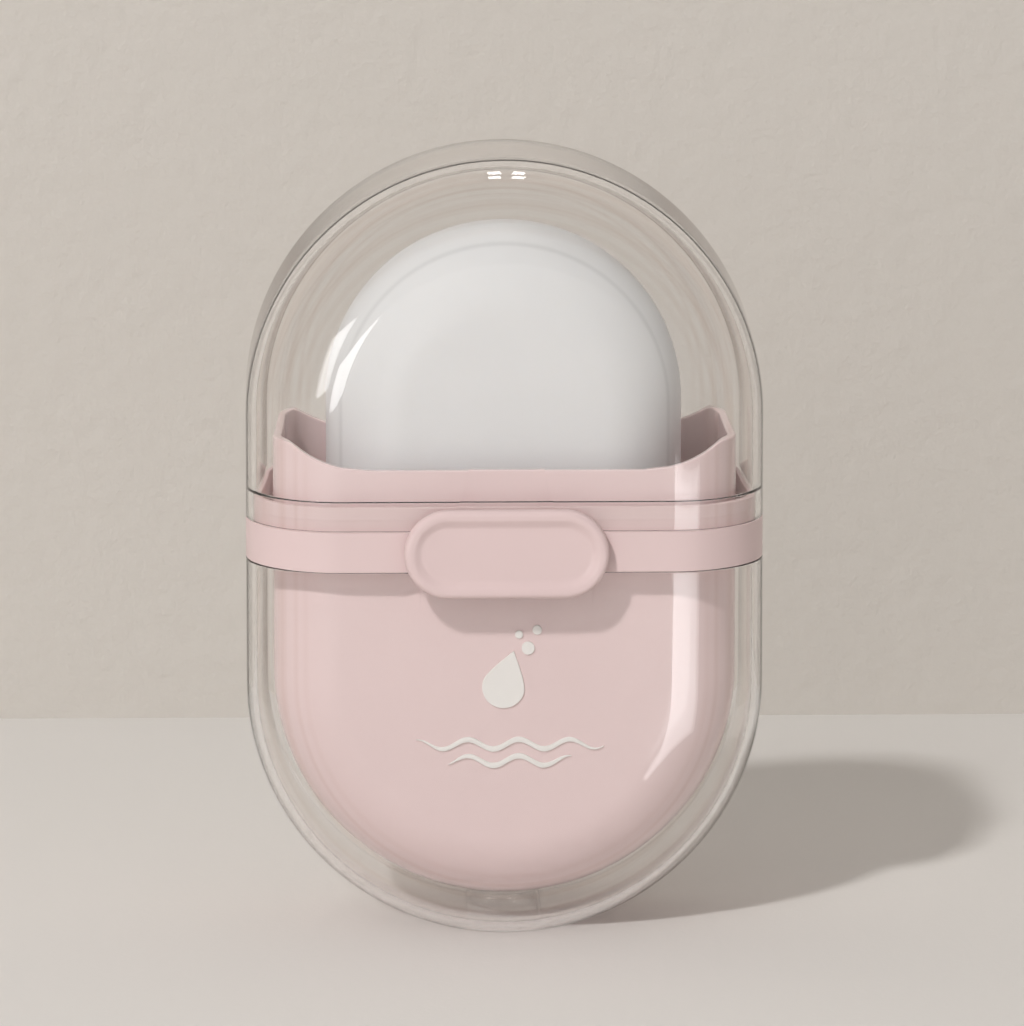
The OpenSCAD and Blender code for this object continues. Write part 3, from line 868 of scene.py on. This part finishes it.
class SOAPBOX_OT_latches(bpy.types.Operator):
    """Build the two press buttons and their steel pins"""

    bl_idname = "soapbox.latches"
    bl_label = "Latches"

    def execute(self, context):
        case = context.scene.soapbox_case
        latch = context.scene.soapbox_latch
        finishes = context.scene.soapbox_finishes
        pink = pink_plastic("button_satin", shade(finishes.pink, 0.94), roughness=0.33)
        steel = steel_finish("pin_wire", finishes.steel)
        button = self.button(case, latch)
        pin = self.pin()
        for shape, name, body, slot, finish, node in (
            (button, "front_button", "front_button", "pink_plastic", pink, "front_latch_button"),
            (turned(button), "rear_button", "rear_button", "pink_plastic", pink, "rear_latch_button"),
            (pin, "front_pin", "base", "pin_steel", steel, "front_latch_pin"),
            (turned(pin), "rear_pin", "base", "pin_steel", steel, "rear_latch_pin"),
        ):
            dress(new_piece(shape, name), body, finish, [node], smooth_angle=35)
        return {"FINISHED"}

    def button(self, case, latch):
        """The whole front button, with its boss, nose and return tongues."""
        bm = bmesh.new()
        self.plate(bm, latch)
        bmesh.ops.transform(bm, matrix=upright(-case.half_depth, COLLAR_MIDDLE), verts=bm.verts)
        lower_root = -case.half_depth - latch.lower_gap - ROOT
        self.boss(bm, latch, lower_root)
        self.nose(bm, case, latch)
        self.tongues(bm, case, latch, lower_root)
        face_outwards(bm)
        return bm

    def plate(self, bm, latch):
        """The oval plate in its own plane, its front towards +Z."""
        half_height = latch.height / 2
        outline = Outline(BUTTON_HIGH.x, half_height, half_height - EPS, steps=20, cuts=7)
        top = latch.proud
        edge = latch.edge_radius

        def back(point):
            """The level of the plate's back, which stands off further below the pin."""
            return latch.upper_gap if point.y > PIN_Z - COLLAR_MIDDLE else latch.lower_gap

        chamfer = 0.2 * MM
        path = [(chamfer * 1.25, back), (0, lambda p: back(p) + chamfer), (0, top - edge)]
        edge_steps = 5
        for i in range(1, edge_steps + 1):
            turn = math.pi / 2 * i / edge_steps
            path.append((edge * (1 - math.cos(turn)), top - edge + edge * math.sin(turn)))
        start = latch.rim - 0.3 * MM
        dish_steps = 9
        for i in range(1, dish_steps + 1):
            share = i / dish_steps
            fall = share * share * (3 - 2 * share)
            path.append((start + share * latch.dish_run, top - fall * latch.dish_depth))
        path += [(inset * MM, top - latch.dish_depth) for inset in (3.6, 4.6, 5.6, 6.2)]
        first, last = outline.wall(bm, path)
        bmesh.ops.edgeloop_fill(bm, edges=last)
        bmesh.ops.edgeloop_fill(bm, edges=first)

    def boss(self, bm, latch, root):
        """The bored boss and its neck."""
        half = latch.boss_half
        bore_radius = latch.bore_radius
        tube = bmesh.new()
        add_rod(tube, latch.boss_radius, half, PIN_Y, PIN_Z, segments=40)
        neck_deep = PIN_Y - latch.boss_radius * 0.8
        neck = block((-half, root, PIN_Z - bore_radius), (half, neck_deep, PIN_Z + bore_radius))
        bore = bmesh.new()
        add_rod(bore, bore_radius, half + PAST, PIN_Y, PIN_Z)
        piece = new_piece(tube, "boss")
        combine(piece, neck, "UNION")
        combine(piece, bore, "DIFFERENCE")
        bm.from_mesh(piece.data)
        spare = piece.data
        bpy.data.objects.remove(piece)
        bpy.data.meshes.remove(spare)

    def nose(self, bm, case, latch):
        """The ledge that hooks over the lid's catch."""
        root = -case.half_depth - latch.upper_gap - ROOT
        tip = -case.half_depth - latch.nose_clearance
        low = LID_LOW.z + latch.catch_rise + latch.catch_height + latch.nose_gap
        high = low + latch.nose_height
        section = [(root, low), (tip, low), (tip, low + latch.nose_height / 3), (root, high)]
        add_bar(bm, section, latch.catch_half)

    def tongues(self, bm, case, latch, root):
        """The two thin tongues that push the button's lower half back out."""
        thick = latch.tongue_wall
        tip = -case.half_depth - latch.tongue_gap
        low = COLLAR_LOW.z
        high = low + thick
        start = COLLAR_MIDDLE - latch.height / 2 + latch.tongue_rise
        section = [(root, start), (root, start + thick), (tip - thick / 2, high), (tip, high), (tip, low)]
        for side in (-1, 1):
            add_bar(bm, section, latch.tongue_half, side * (latch.boss_half - latch.tongue_half))

    def pin(self):
        """The front pin, with its ends broken."""
        bm = bmesh.new()
        add_rod(bm, PIN_RADIUS, PIN_HIGH.x, PIN_Y, PIN_Z, segments=36)
        soften(bm, 0.15 * MM, least_angle=60)
        face_outwards(bm)
        return bm


class SOAPBOX_OT_soap(bpy.types.Operator):
    """Build the bar of soap"""

    bl_idname = "soapbox.soap"
    bl_label = "Soap"

    def execute(self, context):
        case = context.scene.soapbox_case
        soap = context.scene.soapbox_soap
        outline = Outline(SOAP_HIGH.x, SOAP_HIGH.y, soap.edge_radius, steps=24, cuts=7)
        low = SOAP_LOW.z + SOAP_HIGH.x
        high = SOAP_HIGH.z - SOAP_HIGH.x
        bm = bmesh.new()
        row_steps = 8
        path = [(0, low + (high - low) * i / row_steps) for i in range(row_steps + 1)]
        first, last = outline.wall(bm, path)
        round_end(bm, first, low, case.round_steps, above=False)
        round_end(bm, last, high, case.round_steps, above=True)
        close_up(bm)
        self.crown(bm, soap, low, high)
        piece = new_piece(bm, "soap_bar_white")
        finish = soap_finish("white_soap", context.scene.soapbox_finishes.soap)
        dress(piece, "soap", finish, ["soap_bar"])
        return {"FINISHED"}

    def crown(self, bm, soap, low, high):
        """Lets the faces fall away a little from the middle to the edge."""
        for v in bm.verts:
            reach = math.hypot(v.co.x, v.co.z - max(low, min(high, v.co.z))) / SOAP_HIGH.x
            v.co.y *= 1 - soap.crown / SOAP_HIGH.y * reach**2


class SOAPBOX_OT_emblem(bpy.types.Operator):
    """Build the raised white motif, a drop with bubbles over two ripples"""

    bl_idname = "soapbox.emblem"
    bl_label = "Motif"

    def execute(self, context):
        bm = bmesh.new()
        self.drop(bm, (-0.4 * MM, 40.6 * MM), 3.3 * MM, math.radians(-16))
        for x, z, radius in ((3.4, 46.6, 1.0), (2.0, 48.7, 0.6), (4.8, 49.4, 0.72)):
            self.bubble(bm, (x * MM, z * MM), radius * MM)
        for z, half in ((31.6, 14.5), (29.0, 9.5)):
            self.ripple(bm, (0.6 * MM, z * MM), half * MM)
        made = bmesh.ops.extrude_face_region(bm, geom=bm.faces[:])["geom"]
        proud = 0.3 * MM
        bmesh.ops.translate(bm, verts=points_in(made), vec=(0, 0, proud))
        soften(bm, 0.12 * MM, least_angle=60, where=lambda e: max(v.co.z for v in e.verts) > proud * 2 / 3)
        front = context.scene.soapbox_cup.inset - context.scene.soapbox_case.half_depth
        bmesh.ops.transform(bm, matrix=upright(front), verts=bm.verts)
        face_outwards(bm)
        piece = new_piece(bm, "drop_motif")
        finish = ink_finish("white_ink", context.scene.soapbox_finishes.ink)
        dress(piece, "base", finish, smooth_angle=35)
        return {"FINISHED"}

    def drop(self, bm, centre, radius, tilt):
        """A flat water drop whose tip points up."""
        made = bmesh.ops.create_circle(bm, cap_ends=True, segments=48, radius=radius)["verts"]
        for v in made:
            height = v.co.y / radius
            if height > 0:
                v.co.x *= max(0.0, 1 - height) ** 0.55 * (1 + height) ** 0.5
                v.co.y *= 1 + 0.75 * height
        matrix = Matrix.Translation((*centre, 0)) @ Matrix.Rotation(tilt, 4, "Z")
        bmesh.ops.transform(bm, matrix=matrix, verts=made)

    def bubble(self, bm, centre, radius):
        """A flat disc."""
        matrix = Matrix.Translation((*centre, 0))
        bmesh.ops.create_circle(bm, cap_ends=True, segments=32, radius=radius, matrix=matrix)

    def ripple(self, bm, centre, half):
        """A wavy line with pointed ends."""
        middle, level = centre
        wave_height = 0.75 * MM
        radian = 1.25 * MM
        matrix = Matrix.Translation((*centre, 0)) @ Matrix.Diagonal((half, 0.42 * MM, 1, 1))
        for v in bmesh.ops.create_grid(bm, x_segments=72, y_segments=1, size=1, matrix=matrix)["verts"]:
            along = (v.co.x - middle) / half
            taper = max(0.12, 1 - along**4)
            v.co.y = level + (v.co.y - level) * taper + wave_height * math.sin(v.co.x / radian)


# Name, place, width and height in metres, watts, and for one lamp its tone
ROOM_LAMPS = (
    ("key_light", (-0.72, -1.27, 1.38), 0.12, 0.12, 18.6, (1.0, 0.99, 0.97)),
    ("fill_light", (-0.45, -1.3, 0.50), 0.9, 0.7, 2.0),
    ("top_light", (0.0, -0.1, 1.3), 0.8, 0.8, 0.5),
)
PANES = (
    ("left_window", (-0.0085, 0.13, 0.37), 0.017, 0.026, 0.02),
    ("right_window", (0.0245, 0.13, 0.37), 0.017, 0.026, 0.02),
    ("side_pane", (-0.41, -0.72, 0.11), 0.17, 0.185, 0.45),
    ("low_pane", (-0.104, -0.46, 0.039), 0.095, 0.047, 0.06),
)


class SOAPBOX_OT_stage(bpy.types.Operator):
    """Build the pale table, the wall, the soft lights and the camera"""

    bl_idname = "soapbox.stage"
    bl_label = "Stage"

    def execute(self, context):
        settings = context.scene.soapbox_stage
        self.surfaces(settings)
        self.lights()
        self.world(context.scene)
        self.camera(context.scene, settings)
        return {"FINISHED"}

    def surfaces(self, settings):
        """The table, the wall on it and a bent card in front that only reflections show."""
        half_width = 1.2
        half_height = 0.4
        table = self.sheet("table", Matrix.Diagonal((4, 4, 1, 1)))
        table.data.materials.append(stage_finish("table_finish", settings.floor, 900, 0.1 * MM))
        size = Matrix.Diagonal((half_width, half_height, 1, 1))
        wall = self.sheet("wall", upright(settings.wall_distance, half_height) @ size)
        wall.data.materials.append(stage_finish("wall_finish", settings.backdrop, 240, 0.9 * MM))
        card = self.sheet("bounce_card", Matrix.Identity(4), 12)
        for v in card.data.vertices:
            distance = 0.29 - 0.15 * v.co.y
            bearing = math.radians(25 + 14 * v.co.x)
            v.co = (distance * math.sin(bearing), -distance * math.cos(bearing), 0.5 * MM)
        card.data.materials.append(card_finish("card_glow"))
        card.visible_camera = False
        card.visible_diffuse = False
        card.visible_shadow = False

    def sheet(self, name, matrix, rows=1):
        """A flat square, two metres wide before the matrix shapes it."""
        bm = bmesh.new()
        bmesh.ops.create_grid(bm, x_segments=1, y_segments=rows, size=1, matrix=matrix)
        return new_piece(bm, name)

    def lights(self):
        """The room's lamps, which no reflection shows, and the panes, which only reflections show."""
        for lamp in ROOM_LAMPS:
            made = self.area(*lamp)
            made.visible_glossy = False
            made.visible_transmission = False
        for pane in PANES:
            self.area(*pane).visible_diffuse = False

    def area(self, name, place, width, height, power, tone=(1.0, 1.0, 1.0)):
        """A soft rectangular light that faces the box."""
        data = bpy.data.lights.new(name, "AREA")
        data.shape = "RECTANGLE"
        data.size = width
        data.size_y = height
        data.energy = power
        data.color = tone
        lamp = bpy.data.objects.new(name, data)
        lamp.visible_camera = False
        lamp.location = place
        middle = Vector((0, 0, 0.06))
        lamp.rotation_euler = (Vector(place) - middle).to_track_quat("Z", "Y").to_euler()
        bpy.context.scene.collection.objects.link(lamp)
        return lamp

    def world(self, scene):
        """A pale room, as soft as the wall behind the box."""
        paint = Paint("soft_room", bpy.data.worlds)
        direction = paint.node("ShaderNodeTexCoord")["Generated"]
        height = paint.node("ShaderNodeSeparateXYZ", None, {"Vector": direction})["Z"]
        stops = ((0.04, (0.82, 0.79, 0.755, 1)), (0.35, (0.5, 0.478, 0.452, 1)))
        tone = paint.node("ShaderNodeValToRGB", {"stops": stops}, {"Fac": height})["Color"]
        room = paint.node("ShaderNodeBackground", None, {"Color": tone, "Strength": 0.6})["Background"]
        scene.world = paint.show(room, "ShaderNodeOutputWorld")

    def camera(self, scene, settings):
        """The camera at the photograph's angle, and how the picture is worked out."""
        data = bpy.data.cameras.new("camera")
        data.sensor_fit = "HORIZONTAL"
        data.sensor_width = 36
        data.lens = settings.lens
        data.clip_start = 0.05
        data.clip_end = 20
        camera = bpy.data.objects.new("camera", data)
        turn = settings.turn
        level = math.cos(settings.lift)
        back = Vector((-math.sin(turn) * level, -math.cos(turn) * level, math.sin(settings.lift)))
        right = Vector((math.cos(turn), -math.sin(turn), 0))
        middle = Vector((0, 0, (BASE_LOW.z + LID_HIGH.z) / 2))
        aim = middle + right * settings.aim_right + back.cross(right) * settings.aim_up
        camera.location = aim + back * settings.distance
        camera.rotation_euler = back.to_track_quat("Z", "Y").to_euler()
        scene.collection.objects.link(camera)
        scene.camera = camera
        scene.view_settings.view_transform = "Standard"
        scene.view_settings.look = "None"
        scene.cycles.transparent_max_bounces = 32
        scene.cycles.glossy_bounces = 12
        scene.cycles.transmission_bounces = 20
        scene.cycles.max_bounces = 24


class SOAPBOX_PT_panel(bpy.types.Panel):
    """Lists the steps that build the soap box"""

    bl_idname = "SOAPBOX_PT_panel"
    bl_label = "Soap Box"
    bl_space_type = "VIEW_3D"
    bl_region_type = "UI"
    bl_category = "Soap Box"

    def draw(self, context):
        for step in STEPS:
            self.layout.operator(step.bl_idname)
        for name in GROUPS:
            box = self.layout.box()
            group = getattr(context.scene, name)
            for key in group.__annotations__:
                box.prop(group, key)


STEPS = (
    SOAPBOX_OT_clear_shells,
    SOAPBOX_OT_collar_and_seal,
    SOAPBOX_OT_cup_and_tray,
    SOAPBOX_OT_latches,
    SOAPBOX_OT_soap,
    SOAPBOX_OT_emblem,
    SOAPBOX_OT_stage,
)

GROUPS = {
    "soapbox_case": CaseSizes,
    "soapbox_cup": CupSizes,
    "soapbox_latch": LatchSizes,
    "soapbox_soap": SoapSizes,
    "soapbox_finishes": Finishes,
    "soapbox_stage": StageSettings,
}

CLASSES = (*GROUPS.values(), *STEPS, SOAPBOX_PT_panel)


def register():
    for kind in CLASSES:
        bpy.utils.register_class(kind)
    for name, group in GROUPS.items():
        setattr(bpy.types.Scene, name, PointerProperty(type=group))


def unregister():
    for name in GROUPS:
        delattr(bpy.types.Scene, name)
    for kind in reversed(CLASSES):
        bpy.utils.unregister_class(kind)


def main():
    register()
    bpy.ops.soapbox.clear_shells()
    bpy.ops.soapbox.collar_and_seal()
    bpy.ops.soapbox.cup_and_tray()
    bpy.ops.soapbox.latches()
    bpy.ops.soapbox.soap()
    bpy.ops.soapbox.emblem()
    bpy.ops.soapbox.stage()


if __name__ == "__main__":
    main()
